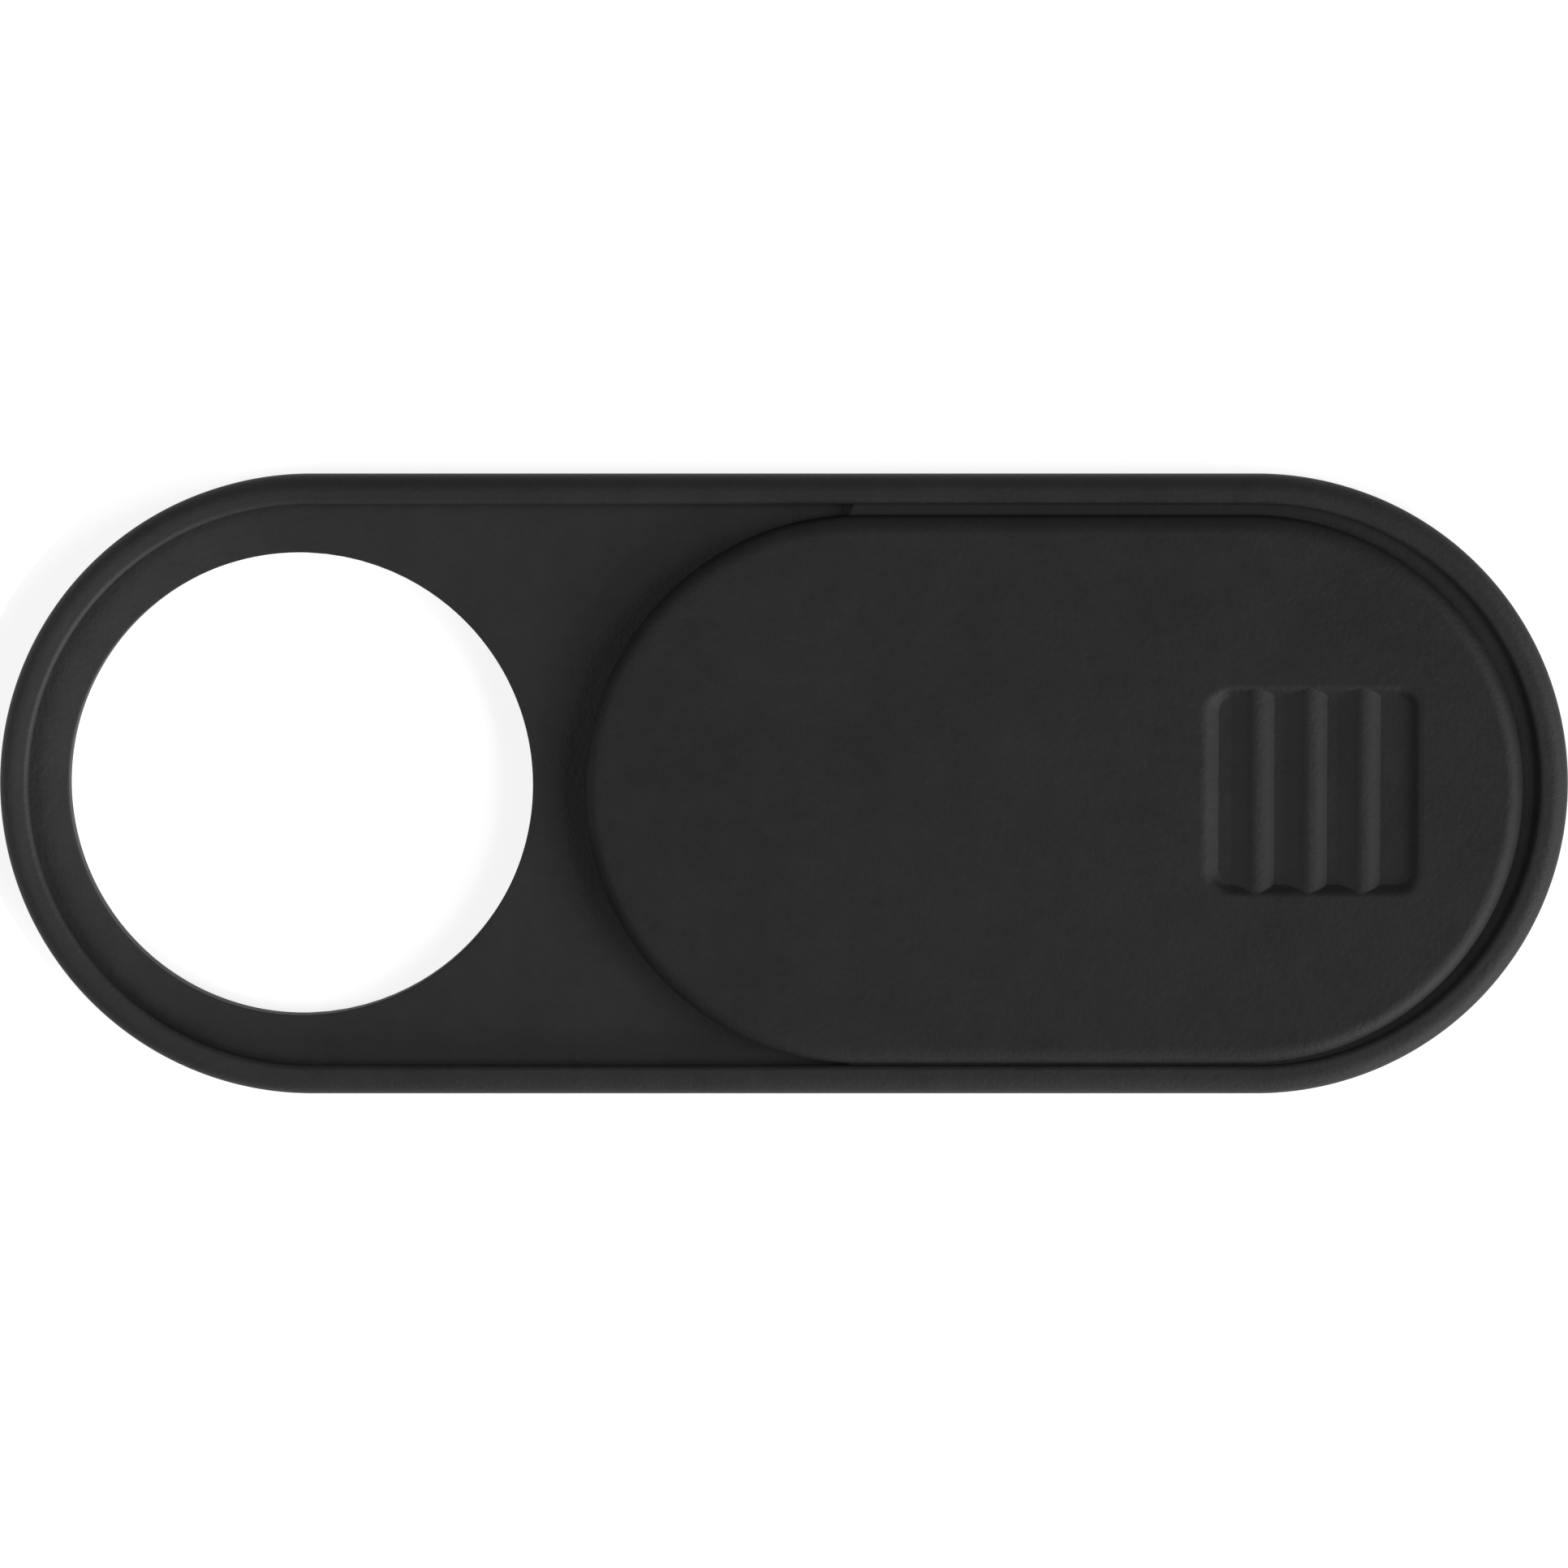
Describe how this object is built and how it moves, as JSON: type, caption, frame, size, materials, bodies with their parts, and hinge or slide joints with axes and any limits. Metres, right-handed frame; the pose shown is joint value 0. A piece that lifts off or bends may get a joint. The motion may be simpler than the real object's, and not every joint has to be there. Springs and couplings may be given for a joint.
{
  "type": "camera cover",
  "caption": "Thin stadium-shaped slide cover for a built-in camera: a rimmed frame with a round lens hole, and a shutter with a ribbed thumb grip that slides over the hole.",
  "frame": {"origin": "middle of the tape's sticking face, which lies on the screen's bezel", "axes": "+X along the cover from the lens hole's end to the open shutter's end, +Y across it, +Z out of its face"},
  "size_m": [0.035, 0.0138, 0.0015],
  "materials": {
    "frame_plastic": "black ABS, fine spark-eroded matt",
    "shutter_plastic": "black ABS, fine spark-eroded matt",
    "adhesive_tape": "dark grey double-sided foam tape, tacky satin"
  },
  "bodies": {
    "frame": {"frame": "frame_plastic", "adhesive_pad": "adhesive_tape"},
    "shutter": {"shutter": "shutter_plastic"}
  },
  "joints": [
    {"name": "shutter_slide", "type": "slide", "parent": "frame", "child": "shutter", "axis": [-1, 0, 0], "range_m": [0, 0.01234]}
  ]
}
